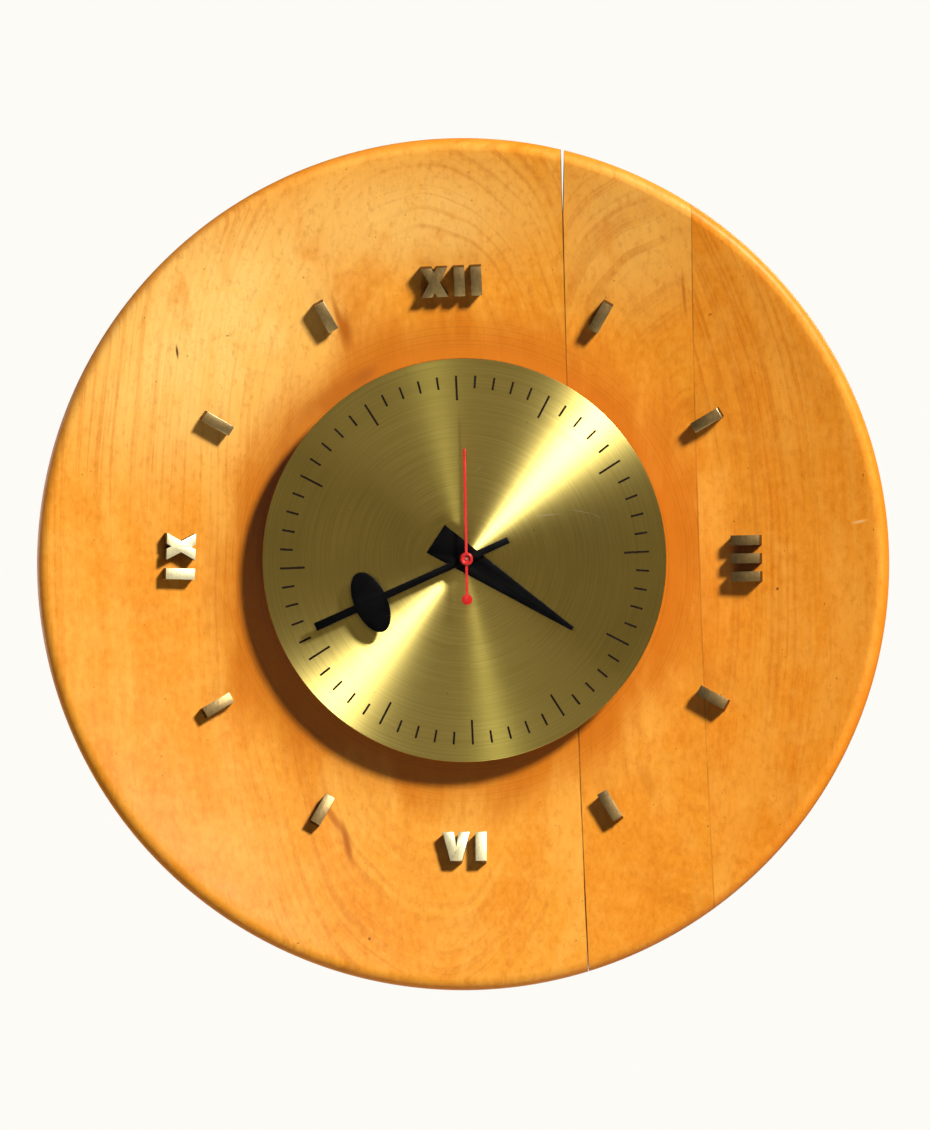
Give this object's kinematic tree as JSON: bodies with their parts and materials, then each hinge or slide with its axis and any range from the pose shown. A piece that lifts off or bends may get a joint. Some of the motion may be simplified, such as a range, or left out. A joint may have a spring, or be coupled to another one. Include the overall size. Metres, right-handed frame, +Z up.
{
  "type": "wall clock",
  "caption": "Round wall clock: a dished turned wooden case, a floating brushed brass dial, raised metal hour markers and a geared movement behind.",
  "frame": {"origin": "where the axis of the hands meets the wall, in the plane of the case's flat back", "axes": "+Z up, towards twelve; +X to the right for a viewer; +Y into the wall, so the face looks along -Y"},
  "size_m": [0.42, 0.053, 0.42],
  "materials": {
    "case_wood": "amber varnished, dished, with growth rings",
    "spacer_wood": "dark stained",
    "dial_brass": "circular brushed, lacquered",
    "mark_filling": "black wax filling",
    "marker_brass": "sawn and filed, dulled",
    "pin_brass": "drawn",
    "black_paint": "satin black",
    "black_bushing": "gloss black",
    "red_paint": "gloss red",
    "fitting_brass": "turned",
    "gasket_rubber": "matt",
    "movement_plastic": "moulded, finely textured",
    "plate_plastic": "moulded",
    "wheel_plastic": "moulded acetal",
    "arbor_steel": "bright",
    "coil_copper": "enamelled copper wire",
    "circuit_laminate": "green laminate",
    "battery_skin": "plain printed sleeve",
    "hanger_steel": "zinc plated",
    "screw_steel": "zinc plated"
  },
  "bodies": {
    "case": {"board_wide": "case_wood", "board_middle": "case_wood", "board_outer": "case_wood", "dial_spacer": "spacer_wood", "dial_plate": "dial_brass", "minute_marks": "mark_filling", "hour_bar_01": "marker_brass", "hour_bar_02": "marker_brass", "hour_bar_04": "marker_brass", "hour_bar_05": "marker_brass", "hour_bar_07": "marker_brass", "hour_bar_08": "marker_brass", "hour_bar_10": "marker_brass", "hour_bar_11": "marker_brass", "numeral_12_x": "marker_brass", "numeral_12_i_left": "marker_brass", "numeral_12_i_right": "marker_brass", "numeral_03_i_upper": "marker_brass", "numeral_03_i_middle": "marker_brass", "numeral_03_i_lower": "marker_brass", "numeral_06_v": "marker_brass", "numeral_06_i": "marker_brass", "numeral_09_i": "marker_brass", "numeral_09_x": "marker_brass", "marker_pins": "pin_brass", "mounting_post": "fitting_brass", "post_washer": "fitting_brass", "post_nut": "fitting_brass", "rubber_gasket": "gasket_rubber", "movement_case": "movement_plastic", "movement_cover": "movement_plastic", "middle_plate": "plate_plastic", "coil_bobbin": "plate_plastic", "coil_core": "arbor_steel", "stator_plate": "arbor_steel", "quartz_crystal": "arbor_steel", "battery_contacts": "arbor_steel", "coil_winding": "coil_copper", "circuit_board": "circuit_laminate", "timing_chip": "circuit_laminate", "battery_cell": "battery_skin", "hanger_plate": "hanger_steel", "hanger_screws": "hanger_steel", "spacer_screws": "screw_steel", "cover_screws": "screw_steel"},
    "second_hand_set": {"second_hand": "red_paint", "second_hand_hub": "red_paint", "seconds_arbor": "arbor_steel", "seconds_wheel": "wheel_plastic"},
    "intermediate_set": {"intermediate_wheel": "wheel_plastic"},
    "rotor_set": {"rotor_pinion": "wheel_plastic", "rotor_magnet": "arbor_steel"},
    "third_set": {"third_wheel": "wheel_plastic"},
    "minute_hand_set": {"minute_hand": "black_paint", "minute_hand_bushing": "black_bushing", "centre_wheel": "wheel_plastic"},
    "minute_wheel_set": {"minute_wheel": "wheel_plastic", "setting_knob": "plate_plastic"},
    "hour_hand_set": {"hour_hand": "black_paint", "hour_wheel": "wheel_plastic"}
  },
  "joints": [
    {"name": "second_hand_spin", "type": "hinge", "parent": "case", "child": "second_hand_set", "pos_m": [0, 0, 0], "axis": [0, 1, 0], "continuous": true},
    {"name": "intermediate_wheel_spin", "type": "hinge", "parent": "case", "child": "intermediate_set", "pos_m": [-0.00909, 0, 0.00525], "axis": [0, 1, 0], "continuous": true},
    {"name": "rotor_spin", "type": "hinge", "parent": "case", "child": "rotor_set", "pos_m": [-0.00909, 0, 0.01605], "axis": [0, 1, 0], "continuous": true},
    {"name": "third_wheel_spin", "type": "hinge", "parent": "case", "child": "third_set", "pos_m": [0.01015, 0, 0.00369], "axis": [0, 1, 0], "continuous": true},
    {"name": "minute_hand_spin", "type": "hinge", "parent": "case", "child": "minute_hand_set", "pos_m": [0, 0, 0], "axis": [0, 1, 0], "continuous": true},
    {"name": "setting_knob_spin", "type": "hinge", "parent": "case", "child": "minute_wheel_set", "pos_m": [0, 0, 0.0112], "axis": [0, 1, 0], "continuous": true},
    {"name": "hour_hand_spin", "type": "hinge", "parent": "case", "child": "hour_hand_set", "pos_m": [0, 0, 0], "axis": [0, 1, 0], "continuous": true}
  ],
  "couplings": [
    {"joint": "intermediate_wheel_spin", "follows": "second_hand_spin", "ratio": -6},
    {"joint": "rotor_spin", "follows": "second_hand_spin", "ratio": 30},
    {"joint": "third_wheel_spin", "follows": "second_hand_spin", "ratio": -0.125},
    {"joint": "minute_hand_spin", "follows": "second_hand_spin", "ratio": 0.016667},
    {"joint": "setting_knob_spin", "follows": "second_hand_spin", "ratio": -0.0055556},
    {"joint": "hour_hand_spin", "follows": "second_hand_spin", "ratio": 0.0013889}
  ]
}
